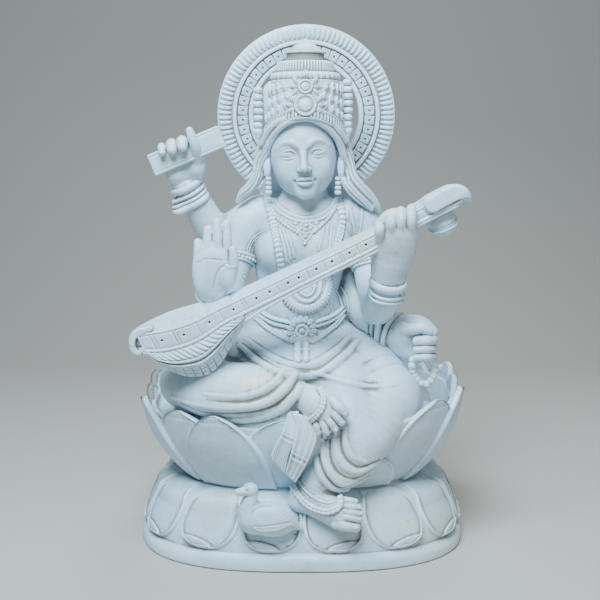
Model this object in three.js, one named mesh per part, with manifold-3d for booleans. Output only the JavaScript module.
import * as THREE from "three";
import { mergeVertices } from "three/addons/utils/BufferGeometryUtils.js";
import Module from "manifold-3d";

// Saraswati, seated on a double lotus and carved with it from one block of marble.
// Millimetres, +Z up. She faces -Y, and the origin is the middle of the plinth's underside.

// Driving sizes of the plinth and of the two rows of lotus petals above it
const plinthWidth = 388;
const plinthDepth = 290;
const plinthLip = 16;
const planSquareness = 2.6;
const planSteps = 64;
const basePetals = 16;
const basePetalRelief = 6;
const waistShare = 0.7;
const waistHeight = 82;
const seatHeight = 156;
const lotusHeight = 168;
const lotusFrontDip = 12;
const lotusShare = 0.98;
const lotusPetals = 8;
const lotusPetalRelief = 6;
const petalTip = 16;

// Driving sizes of the figure and of what it carries
// Its points and radii are written in units, of which its height has heightUnits. Heights count from
// seatUnits at the seat, so that a unit is a millimetre at the sizes given here.
const figureHeight = 432;
const heightUnits = 432;
const seatUnits = 156;
const haloRadius = 107;
const haloHole = 63;
const haloThickness = 13;
const haloRelief = 3;
const haloTeeth = 40;
const veenaNeckHeight = 22;
const veenaNeckDepth = 22;
const veenaBowlLength = 104;
const veenaBowlHeight = 58;
const veenaBowlDepth = 56;
const veenaGourd = 17;
const bookLength = 90;
const bookWidth = 27;
const bookThickness = 17;
const beads = 11;
const beadRadius = 4.6;
const stringRadius = 2.6;
const bangleRelief = 3.5;

const wasm = await Module();
wasm.setup();

const marble = new THREE.MeshStandardMaterial({ color: 0xd3dbe0, roughness: 0.6, metalness: 0 });
marble.name = "marble";

const front = new THREE.Vector3(0, -1, 0);
const up = new THREE.Vector3(0, 0, 1);

function share(size) {
  return (size * figureHeight) / heightUnits;
}

function at(x, y, z) {
  return new THREE.Vector3(share(x), share(y), seatHeight + share(z - seatUnits));
}

// A point that stands so far behind the plinth's front edge
function behindFront(x, inward, z) {
  return new THREE.Vector3(share(x), share(inward) - plinthDepth / 2, at(0, 0, z).z);
}

// Turns a closed geometry into a solid, with its faces pointing out whichever way they were wound.
function toSolid(geometry) {
  geometry.deleteAttribute("normal");
  geometry.deleteAttribute("uv");
  const merged = mergeVertices(geometry, 1e-3);
  const place = merged.attributes.position.array;
  const corner = (i) => new THREE.Vector3().fromArray(place, 3 * i);
  const faces = [];
  let volume = 0;
  for (let i = 0; i < merged.index.count; i += 3) {
    const [a, b, c] = merged.index.array.slice(i, i + 3);
    if (a === b || b === c || c === a) continue;
    faces.push([a, b, c]);
    volume += corner(a).dot(corner(b).cross(corner(c)));
  }
  const outward = volume < 0 ? faces.map(([a, b, c]) => [a, c, b]) : faces;
  const mesh = new wasm.Mesh({
    numProp: 3,
    vertProperties: new Float32Array(place),
    triVerts: new Uint32Array(outward.flat()),
  });
  return new wasm.Manifold(mesh);
}

// Moves every vertex of a geometry by a rule, and makes it a solid.
function bend(geometry, rule) {
  const place = geometry.attributes.position;
  const point = new THREE.Vector3();
  for (let i = 0; i < place.count; i++) {
    const moved = rule(point.fromBufferAttribute(place, i));
    place.setXYZ(i, moved.x, moved.y, moved.z);
  }
  return toSolid(geometry);
}

// A limb along a smooth line: round or oval sections, and ends that come to a blunt point.
function limb(points, radii, { sides = 7, rows = points.length - 1, facing = front, tip = 0.5 } = {}) {
  const line = new THREE.CatmullRomCurve3(points, false, "centripetal");
  const pair = (value) => (Array.isArray(value) ? value : [value, value]);
  const radius = (t) => {
    const place = t * (points.length - 1);
    const low = Math.min(Math.floor(place), points.length - 2);
    const [a, b] = [pair(radii[low]), pair(radii[low + 1])];
    return [0, 1].map((i) => share(THREE.MathUtils.lerp(a[i], b[i], place - low)));
  };
  return bend(new THREE.CylinderGeometry(1, 1, 1, sides, rows), (p) => {
    const t = p.y + 0.5;
    const along = line.getTangent(t);
    const across = new THREE.Vector3().crossVectors(along, facing).normalize();
    const deep = new THREE.Vector3().crossVectors(across, along);
    const [wide, thick] = radius(t);
    const centre = line.getPoint(t);
    const onAxis = Math.hypot(p.x, p.z) < 1e-6;
    if (onAxis) return centre.addScaledVector(along, Math.sign(p.y) * tip * Math.min(wide, thick));
    return centre.addScaledVector(across, wide * p.x).addScaledVector(deep, thick * p.z);
  });
}

function ball(centre, [x, y, z], { sides = 8, rows = 6 } = {}) {
  return bend(new THREE.SphereGeometry(1, sides, rows), (p) =>
    new THREE.Vector3(share(x) * p.x, share(y) * p.z, share(z) * p.y).add(centre),
  );
}

// A point of the rounded plan of the plinth and lotus, for an angle from the front
function planPoint(angle, size, height) {
  const [s, c] = [Math.sin(angle), Math.cos(angle)];
  const round = (Math.abs(s) ** planSquareness + Math.abs(c) ** planSquareness) ** (-1 / planSquareness);
  const reach = round * size;
  return new THREE.Vector3((plinthWidth / 2) * reach * s, (-plinthDepth / 2) * reach * c, height);
}

// Half the width of a petal, as a share of its place in the row, from its root at 0 to its tip at 1
function petalEdge(along, roundness) {
  return Math.min(0.9, (1 - along ** roundness) * (0.6 + 0.65 * along));
}

// Follows a bent line through pairs of values.
function through(value, from, to) {
  const last = from.findIndex((step) => step >= value);
  if (last < 1) return to[Math.max(last, 0)];
  return THREE.MathUtils.mapLinear(value, from[last - 1], from[last], to[last - 1], to[last]);
}

// The plinth, its row of hanging petals, the waist and the open bowl of petals, on the rounded plan
// Each row is [share of the plinth's size, height, petal row, place along the petal, how much fuller
// the row is at her sides].
function makeLotus() {
  const rim = lotusHeight;
  const rows = [
    [0, 0],
    [1, 0],
    [1, plinthLip],
    [0.965, plinthLip + 3, "hanging", 0.98, 0.015],
    [0.95, plinthLip + 18, "hanging", 0.8, 0.015],
    [0.88, plinthLip + 40, "hanging", 0.5, 0.045],
    [0.79, waistHeight - 7, "hanging", 0.15, 0.05],
    [waistShare, waistHeight],
    [lotusShare - 0.17, waistHeight + 26, "open", 0.25],
    [lotusShare - 0.075, waistHeight + 54, "open", 0.5],
    [lotusShare - 0.03, seatHeight, "open", 0.75],
    [lotusShare, rim, "rim", 1],
    [lotusShare - 0.08, seatHeight],
    [0, seatHeight],
  ];
  const profile = rows.map(([size], i) => new THREE.Vector2(size > 0 ? 1 : 0, i));
  const shape = new THREE.LatheGeometry(profile, planSteps);
  // The place across a petal, from -1 to 1, of a point in a row of so many petals
  const across = (angle, count, first) => {
    const turns = (angle / (2 * Math.PI)) * count - first;
    return 2 * (turns - Math.round(turns));
  };
  // Draws the points of a row in to both sides of its petals' edges, and raises those on the petals.
  const petal = (angle, count, edge, from, to) => {
    const place = across(angle, count, 0.5);
    const moved = Math.sign(place) * through(Math.abs(place), from, to);
    const raised = Math.abs(moved) < edge ? 1 - 0.35 * (moved / edge) ** 2 : 0;
    return [angle + ((moved - place) * Math.PI) / count, raised];
  };
  return [
    bend(shape, (p) => {
      const [rowSize, height, row, along, fuller = 0] = rows[Math.round(p.y)];
      const angle = Math.atan2(p.x, p.z);
      const size = rowSize + fuller * Math.sin(angle) ** 2;
      if (p.x === 0 && p.z === 0) return new THREE.Vector3(0, 0, height);
      if (row === "hanging") {
        const edge = petalEdge(along, 6);
        const [turned, raised] = petal(angle, basePetals, edge, [0, 0.5, 1], [0, edge - 0.06, 1]);
        const lift = basePetalRelief * raised;
        return planPoint(turned, size + (1.4 * lift) / plinthWidth, height + 0.7 * lift);
      }
      if (row === "open") {
        const edge = petalEdge(along, 3);
        const drawn = [0, 0.35, edge - 0.04, edge + 0.08, 1];
        const [turned, raised] = petal(angle, lotusPetals, edge, [0, 0.25, 0.5, 0.75, 1], drawn);
        return planPoint(turned, size + (2 * lotusPetalRelief * raised) / plinthWidth, height);
      }
      if (row === "rim") {
        const full = Math.abs(across(angle, lotusPetals, 0.5));
        const between = Math.abs(across(angle, lotusPetals, 0));
        const tip = Math.max(1 - 1.7 * full, 0.9 - 1.7 * between);
        const dip = (lotusFrontDip * (1 + Math.cos(angle))) / 2;
        return planPoint(angle, size + 0.015 * tip, height - dip + petalTip * tip);
      }
      return planPoint(angle, size, height);
    }),
  ];
}

function makeTorso() {
  return [
    limb(
      [
        at(0, 8, 160),
        at(0, 8, 210),
        at(-2, 6, 250),
        at(-4, 3, 294),
        at(-1, 2, 335),
        at(4, 3, 372),
        at(5, 5, 394),
        at(4, 4, 408),
      ],
      [[94, 62], [86, 58], [66, 46], [49, 36], [60, 40], [72, 38], [64, 28], [34, 22]],
      { sides: 10, tip: 0.1 },
    ),
    ball(at(-28, -30, 345), [27, 20, 24], { rows: 5 }),
    ball(at(34, -30, 345), [27, 20, 24], { rows: 5 }),
    limb([at(3, 2, 396), at(2, -2, 430)], [22, 19], { rows: 1, sides: 6 }),
    ball(at(0, -46, 208), [78, 60, 32], { rows: 5 }),
  ];
}

// The belt, with a rosette and a tassel at its middle
function makeBelt() {
  return [
    limb(
      [at(-58, -16, 276), at(-32, -36, 268), at(1, -46, 256), at(32, -36, 267), at(50, -18, 274)],
      [4, 4.5, 5, 4.5, 4],
      { sides: 4 },
    ),
    ball(at(1, -50, 254), [15, 9, 15], { rows: 4 }),
    limb([at(1, -58, 244), at(0, -66, 224)], [7, 6], { sides: 4, rows: 1 }),
  ];
}

function makeLegs() {
  return [
    limb([at(-34, 2, 208), at(-84, -26, 212), at(-122, -46, 202), at(-142, -62, 195)], [46, 46, 38, 26], {
      sides: 9,
      facing: up,
    }),
    limb(
      [at(-138, -64, 193), at(-95, -96, 195), at(-50, -114, 196), at(-6, -124, 198)],
      [28, 32, 31, 24],
      { sides: 9, facing: up },
    ),
    limb([at(36, 2, 208), at(76, -42, 198), at(104, -80, 178)], [48, 46, 35], { sides: 9, facing: up }),
    limb(
      [
        behindFront(74, 75, 206),
        behindFront(80, 55, 180),
        behindFront(74, 39, 150),
        behindFront(54, 27, 120),
        behindFront(36, 21, 96),
      ],
      [[46, 34], [56, 37], [50, 34], [36, 27], [20, 19]],
      { sides: 9 },
    ),
  ];
}

// Folds of the cloth over her legs, as raised ridges
function makeFolds() {
  const ridges = [
    [at(-80, -60, 240), at(-31, -98, 220), at(3, -104, 214), at(54, -80, 238)],
    [at(-154, -84, 186), at(-95, -126, 178), at(-45, -144, 178), at(-16, -150, 192), at(-8, -138, 214)],
    [at(-130, -104, 174), at(-60, -138, 168), at(-22, -146, 174), at(-2, -150, 196)],
    [behindFront(28, 9, 152), behindFront(28, 1, 126), behindFront(34, 1, 100)],
    [behindFront(96, 17, 126), behindFront(70, 3, 102), behindFront(34, -1, 94)],
  ];
  return ridges.map((points) => {
    const radii = points.map((_, i) => (i === 0 || i === points.length - 1 ? 2.5 : 5));
    return limb(points, radii, { sides: 4, rows: points.length + 1 });
  });
}

// A bare foot: the instep from ankle to ball, and five toes spread along its end
function makeFoot({ instep, widths, toes }) {
  const end = instep[instep.length - 1];
  const makeToe = (tip, i) => {
    const radii = i === 0 ? [5, 5.5] : [4, 4];
    return limb([end.clone().lerp(tip, 0.3), tip], radii, { sides: 4, rows: 1, facing: up });
  };
  return [limb(instep, widths, { facing: up, sides: 6 }), ...toes.map(makeToe)];
}

function makeFeet() {
  const right = makeFoot({
    instep: [at(2, -132, 194), at(16, -138, 184), at(28, -143, 172)],
    widths: [[13, 13], [14, 13], [15, 9]],
    toes: [at(46, -150, 180), at(42, -150, 168), at(35, -148, 161), at(28, -146, 157), at(20, -143, 158)],
  });
  const left = makeFoot({
    instep: [behindFront(-4, 27, 78), behindFront(22, 15, 76), behindFront(48, 5, 67)],
    widths: [[14, 14], [17, 17], [17, 15]],
    toes: [
      behindFront(62, 1, 82),
      behindFront(68, -2, 73),
      behindFront(69, -4, 65),
      behindFront(67, -5, 57),
      behindFront(62, -5, 50),
    ],
  });
  const ankle = limb([behindFront(20, 23, 108), behindFront(12, 23, 80)], [17, 16], { rows: 1 });
  return [...right, ...left, ankle];
}

// The two pleated ends of the sash that hang over the edge of the lotus
function makeSash() {
  const pleats = 4;
  const panel = (line, halves) => {
    const path = new THREE.CatmullRomCurve3(line);
    return bend(new THREE.BoxGeometry(2, 1, 1, pleats, 2, 1), (p) => {
      const t = 0.5 - p.y;
      const half = share(THREE.MathUtils.lerp(halves[0], halves[1], t));
      const pleat = Math.round((pleats / 2) * (p.x + 1)) % 2 ? 2.5 : -2.5;
      const slant = 10 * p.x * t;
      const depth = p.z > 0 ? pleat - 4 : 16;
      return path.getPoint(t).add(new THREE.Vector3(half * p.x, share(depth), share(-slant)));
    });
  };
  return [
    panel([behindFront(-16, 9, 182), behindFront(-24, 7, 152), behindFront(-20, 11, 116)], [9, 14]),
    panel([behindFront(-4, 3, 184), behindFront(6, -1, 150), behindFront(-4, 7, 116)], [9, 12]),
  ];
}

// A hand: a flat palm along a line, four fingers and a thumb
function makeHand({ palm, widths, fingers, thumb, facing = front }) {
  const digit = (points, thick) => {
    const radii = points.map((_, i) => thick * (1 - (0.2 * i) / (points.length - 1)));
    return limb(points, radii, { sides: 4, facing });
  };
  const spread = fingers.map((line) => digit(line, 5.4));
  return [limb(palm, widths, { facing, sides: 6 }), ...spread, digit(thumb, 6)];
}

// A forearm from elbow to wrist, with a set of bangles standing out from it near the wrist
function makeForearm(elbow, middle, wrist, radii, options) {
  const line = new THREE.CatmullRomCurve3([elbow, middle, wrist]);
  const stations = [0, 0.56, 0.6, 0.84, 0.87, 1];
  const bare = (t) => through(t, [0, 0.5, 1], radii);
  const proud = [0, 0, bangleRelief, bangleRelief, 0, 0];
  return limb(
    stations.map((t) => line.getPoint(t)),
    stations.map((t, i) => bare(t) + proud[i]),
    options,
  );
}

function makeArms() {
  const rightFront = [
    limb(
      [at(-60, 2, 384), at(-74, -4, 348), at(-84, -18, 306), at(-90, -40, 284)],
      [25, 21, 19, 17],
      { sides: 6 },
    ),
    makeForearm(at(-90, -34, 284), at(-97, -72, 286), at(-99, -98, 302), [17, 14, 12], {
      facing: up,
      sides: 6,
    }),
    ...makeHand({
      palm: [at(-99, -96, 298), at(-98, -103, 322), at(-97, -106, 352)],
      widths: [[12, 10], [20, 11], [21, 8]],
      fingers: [
        [at(-82, -108, 346), at(-81, -109, 384)],
        [at(-92, -109, 346), at(-91, -110, 387)],
        [at(-102.5, -108, 344), at(-102, -109, 380)],
        [at(-111, -106, 338), at(-114, -107, 364)],
      ],
      thumb: [at(-82, -104, 318), at(-74, -110, 338), at(-72, -112, 354)],
    }),
  ];
  const rightRear = [
    limb([at(-58, 10, 386), at(-84, 16, 366), at(-100, 16, 360)], [24, 22, 20], { sides: 6 }),
    makeForearm(at(-98, 16, 354), at(-122, 6, 388), at(-138, -6, 424), [23, 18, 13], { sides: 7 }),
    ...makeHand({
      palm: [at(-138, -6, 418), at(-137, -8, 440), at(-136, -10, 458)],
      widths: [[13, 11], [21, 12], [20, 10]],
      fingers: [
        [at(-152, -10, 440), at(-160, -28, 456), at(-160, -36, 466)],
        [at(-144, -10, 444), at(-148, -32, 456), at(-148, -38, 468)],
        [at(-134, -10, 448), at(-136, -32, 460), at(-136, -38, 474)],
        [at(-124, -8, 456), at(-124, -26, 474), at(-126, -32, 488)],
      ],
      thumb: [at(-124, -8, 436), at(-114, -26, 444), at(-118, -36, 452)],
    }),
  ];
  const leftFront = [
    limb([at(72, 4, 386), at(78, -2, 350), at(82, -26, 300), at(88, -50, 276)], [26, 22, 20, 18]),
    makeForearm(at(87, -46, 272), at(93, -74, 288), at(95, -94, 314), [19, 17, 15], { sides: 7 }),
    ...makeHand({
      palm: [at(95, -92, 308), at(98, -108, 338), at(100, -118, 372)],
      widths: [[15, 12], [25, 14], [23, 9]],
      fingers: [
        [at(83, -118, 360), at(83, -122, 378), at(83, -112, 388)],
        [at(93, -120, 364), at(95, -124, 386), at(95, -112, 397)],
        [at(103, -120, 366), at(106, -122, 390), at(106, -110, 401)],
        [at(113, -116, 366), at(116, -118, 392), at(117, -104, 404)],
      ],
      thumb: [at(84, -104, 336), at(76, -94, 352), at(78, -84, 366)],
    }),
  ];
  const leftRear = [
    limb([at(68, 18, 376), at(70, 24, 330), at(62, 14, 286)], [22, 20, 19], { sides: 6 }),
    makeForearm(at(60, 16, 290), at(82, -18, 264), at(104, -48, 250), [20, 17, 13], { sides: 7 }),
    ...makeHand({
      palm: [at(98, -44, 252), at(118, -54, 248), at(138, -58, 242)],
      widths: [[13, 14], [17, 17], [15, 15]],
      fingers: [
        [at(134, -58, 250), at(150, -66, 246), at(148, -80, 242), at(132, -80, 241)],
        [at(134, -58, 241), at(150, -66, 236), at(148, -80, 232), at(132, -80, 231)],
        [at(132, -58, 232), at(147, -66, 227), at(145, -79, 223), at(130, -78, 222)],
      ],
      thumb: [at(112, -58, 254), at(128, -72, 258), at(142, -78, 252)],
    }),
  ];
  return [...rightFront, ...rightRear, ...leftFront, ...leftRear];
}

// The string of prayer beads that hangs from her lower left hand: a ring that swells at every bead
function makeBeads() {
  const centre = at(139, -64, 207);
  const [wide, high] = [share(11.5), share(21)];
  const steps = 2 * beads;
  return [
    bend(new THREE.TorusGeometry(wide, 1, 5, steps), (p) => {
      const turn = Math.atan2(p.y, p.x);
      const ring = new THREE.Vector2(Math.cos(turn), Math.sin(turn));
      const radius = Math.round((turn / (2 * Math.PI)) * steps) % 2 ? stringRadius : beadRadius;
      const out = (Math.hypot(p.x, p.y) - wide) * radius;
      return new THREE.Vector3(ring.x * (wide + out), p.z * radius, ring.y * (high + out)).add(centre);
    }),
  ];
}

function makeHead() {
  const face = [
    ball(at(2, -14, 454), [33, 36, 44], { sides: 10, rows: 7 }),
    ball(at(2, -24, 426), [24, 23, 19], { rows: 5 }),
    limb([at(2, -46, 468), at(2, -56, 447)], [2.5, 5.5], { sides: 4 }),
    ball(at(2, -48, 432), [9, 5, 4], { sides: 6, rows: 4 }),
    ...[-1, 1].flatMap((side) => [
      ball(at(2 + side * 14, -42, 459), [7.5, 4.5, 3.6], { sides: 6, rows: 4 }),
      limb(
        [at(2 + side * 5, -46, 466), at(2 + side * 15, -45, 471), at(2 + side * 25, -35, 466)],
        [2, 2.5, 2],
        { sides: 3 },
      ),
    ]),
  ];
  const hair = [ball(at(3, 4, 458), [41, 42, 48], { rows: 5 })];
  for (const side of [-1, 1]) {
    const x = (value) => 3 + side * value;
    hair.push(
      limb(
        [at(x(1), -47, 494), at(x(22), -44, 487), at(x(34), -32, 470), at(x(38), -20, 448)],
        [4, 6, 6, 4],
        { sides: 5 },
      ),
      limb(
        [at(x(34), 6, 474), at(x(45), 2, 444), at(x(56), -6, 416), at(x(72), -10, 396)],
        [12, 12, 13, 9],
        { sides: 6 },
      ),
      limb([at(x(38), -12, 462), at(x(39), -16, 440), at(x(38), -18, 420)], [3, 5, 4], { sides: 5 }),
    );
  }
  return [...face, ...hair];
}

// The tall crown: tiers turned on one axis and fluted, medallions at its front and pendants at its sides
function makeCrown() {
  const tiers = [
    [0, 482],
    [44, 482],
    [47.5, 490],
    [46.5, 501],
    [43.5, 504],
    [38, 540],
    [40, 545],
    [34, 553],
    [32, 561],
    [23.5, 565],
    [22, 572],
    [18, 575],
    [0, 588],
  ];
  const flutes = 7;
  const axis = at(3, -4, 156);
  const body = bend(
    new THREE.LatheGeometry(tiers.map(([r, z]) => new THREE.Vector2(r, z)), 2 * flutes),
    (p) => {
      const depth = p.y > 502 && p.y < 562 ? 0.03 : 0;
      const flute = 1 + depth * Math.cos(flutes * Math.atan2(p.x, p.z));
      return new THREE.Vector3(axis.x + share(p.x * flute), axis.y - share(p.z * flute), at(0, 0, p.y).z);
    },
  );
  const medallions = [
    [509, -47, 12],
    [533, -42, 9],
  ].map(([z, y, r]) => ball(at(3, y, z), [r, 6, r], { rows: 4 }));
  const pendants = [-1, 1].flatMap((side) => [
    limb(
      [at(3 + side * 42, -2, 542), at(3 + side * 50, -4, 522), at(3 + side * 48, -4, 480)],
      [5, [8, 12], [7, 10]],
      { sides: 6 },
    ),
    limb(
      Array.from({ length: 7 }, (_, i) => at(3 + side * 54, -8, 540 - 11 * i)),
      Array.from({ length: 7 }, (_, i) => (i % 2 ? 4.5 : 2.5)),
      { sides: 4 },
    ),
  ]);
  return [body, ...medallions, ...pendants];
}

// The halo: a ring behind her head, with a row of teeth and a raised inner band standing from its face
function makeHalo() {
  const centre = at(5, 0, 503);
  const back = share(38) + haloThickness / 2;
  const place = (p) => new THREE.Vector3(p.x + centre.x, back - p.z, p.y + centre.z);
  const circle = (radius, steps, inset = 0) =>
    Array.from({ length: steps }, (_, i) => {
      const turn = (i / steps) * 2 * Math.PI;
      const reach = i % 2 ? radius - inset : radius;
      return new THREE.Vector2(reach * Math.cos(turn), reach * Math.sin(turn));
    });
  const layer = (outline, inner, from, to) => {
    const shape = new THREE.Shape(outline);
    shape.holes.push(new THREE.Path(circle(inner, 30)));
    const ring = new THREE.ExtrudeGeometry(shape, { depth: to - from, bevelEnabled: false });
    return bend(ring.translate(0, 0, from), place);
  };
  const width = haloRadius - haloHole;
  const backing = haloThickness - haloRelief;
  const teeth = circle(haloRadius - 0.6, 2 * haloTeeth, 0.4 * width);
  return [
    layer(circle(haloRadius, haloTeeth), haloHole, 0, backing),
    layer(teeth, haloRadius - 0.5 * width, backing - 1, haloThickness),
    layer(circle(haloHole + 0.3 * width, 30), haloHole + 1, backing - 1, haloThickness),
  ];
}

// The veena, held across her: a long neck with its scroll, a round bowl and a gourd
function makeVeena() {
  const low = at(-134, -116, 284);
  const high = at(164, -98, 415);
  const along = high.clone().sub(low);
  const lean = Math.atan2(along.z, along.x);
  const slope = new THREE.Matrix4().makeRotationY(-lean);
  const neck = bend(new THREE.BoxGeometry(along.length(), 1, 1, 3, 1, 1), (p) => {
    const t = p.x / along.length() + 0.5;
    const wide = THREE.MathUtils.lerp(1.15, 0.9, t);
    const deep = THREE.MathUtils.lerp(2, 0.9, Math.min(1, 2 * t));
    const local = new THREE.Vector3(0, p.y * veenaNeckDepth * deep, p.z * veenaNeckHeight * wide);
    return local.applyMatrix4(slope).add(low).addScaledVector(along, t);
  });
  const bowlCentre = at(-106, -114, 286);
  const bowl = bend(new THREE.SphereGeometry(1, 12, 8), (p) => {
    const height = p.y > 0 ? 0.1 * p.y : p.y;
    const reach = p.x < 0 ? 0.68 : 0.42;
    const local = new THREE.Vector3(
      veenaBowlLength * reach * p.x,
      (veenaBowlDepth / 2) * p.z,
      veenaBowlHeight * height,
    );
    return local.applyMatrix4(slope).add(bowlCentre);
  });
  const scroll = limb(
    [
      at(-128, -116, 287),
      at(-164, -118, 271),
      at(-185, -120, 261),
      at(-186, -122, 248),
      at(-177, -122, 249),
    ],
    [[13, 23], [13, 19], [9, 15], [6, 12], 5],
    { sides: 6 },
  );
  const head = limb(
    [at(156, -98, 412), at(177, -97, 421), at(188, -96, 409)],
    [10, [9, 10], [3, 8]],
    { sides: 6 },
  );
  const gourd = bend(new THREE.SphereGeometry(veenaGourd, 9, 7), (p) => p.clone().add(at(154, -84, 382)));
  const stem = limb([at(150, -90, 404), at(153, -86, 388)], [6, 6], { sides: 5 });
  return [neck, scroll, head, bowl, gourd, stem];
}

// The book in her raised hand
function makeBook() {
  const turn = new THREE.Matrix4().makeRotationY(-0.4);
  const centre = at(-133, -22, 461);
  const block = new THREE.BoxGeometry(bookLength, bookThickness, bookWidth);
  return [bend(block, (p) => p.clone().applyMatrix4(turn).add(centre))];
}

// The swan at her foot
function makeSwan() {
  return [
    ball(behindFront(-38, 19, 60), [27, 18, 18], { rows: 5 }),
    limb(
      [behindFront(-58, 15, 62), behindFront(-63, 9, 78), behindFront(-55, 8, 90)],
      [14, 9, 6],
      { sides: 5 },
    ),
    ball(behindFront(-58, 7, 94), [8, 7, 8], { sides: 6, rows: 4 }),
    limb([behindFront(-62, 5, 94), behindFront(-73, 3, 91)], [4, 1.5], { sides: 4 }),
    limb(
      [behindFront(-48, 3, 66), behindFront(-26, 1, 62), behindFront(-5, 7, 50)],
      [9, 9, 3],
      { sides: 5 },
    ),
  ];
}

const pieces = [
  ...makeLotus(),
  ...makeTorso(),
  ...makeBelt(),
  ...makeLegs(),
  ...makeFolds(),
  ...makeFeet(),
  ...makeSash(),
  ...makeArms(),
  ...makeBeads(),
  ...makeHead(),
  ...makeCrown(),
  ...makeHalo(),
  ...makeVeena(),
  ...makeBook(),
  ...makeSwan(),
];
const carved = pieces.reduce((whole, piece) => whole.add(piece)).getMesh();

const geometry = new THREE.BufferGeometry();
geometry.setAttribute("position", new THREE.BufferAttribute(carved.vertProperties, 3));
geometry.setIndex(new THREE.BufferAttribute(carved.triVerts, 1));
geometry.computeVertexNormals();

const statue = new THREE.Mesh(geometry, marble);
statue.name = "statue";

const part = new THREE.Group();
part.add(statue);

export default part;
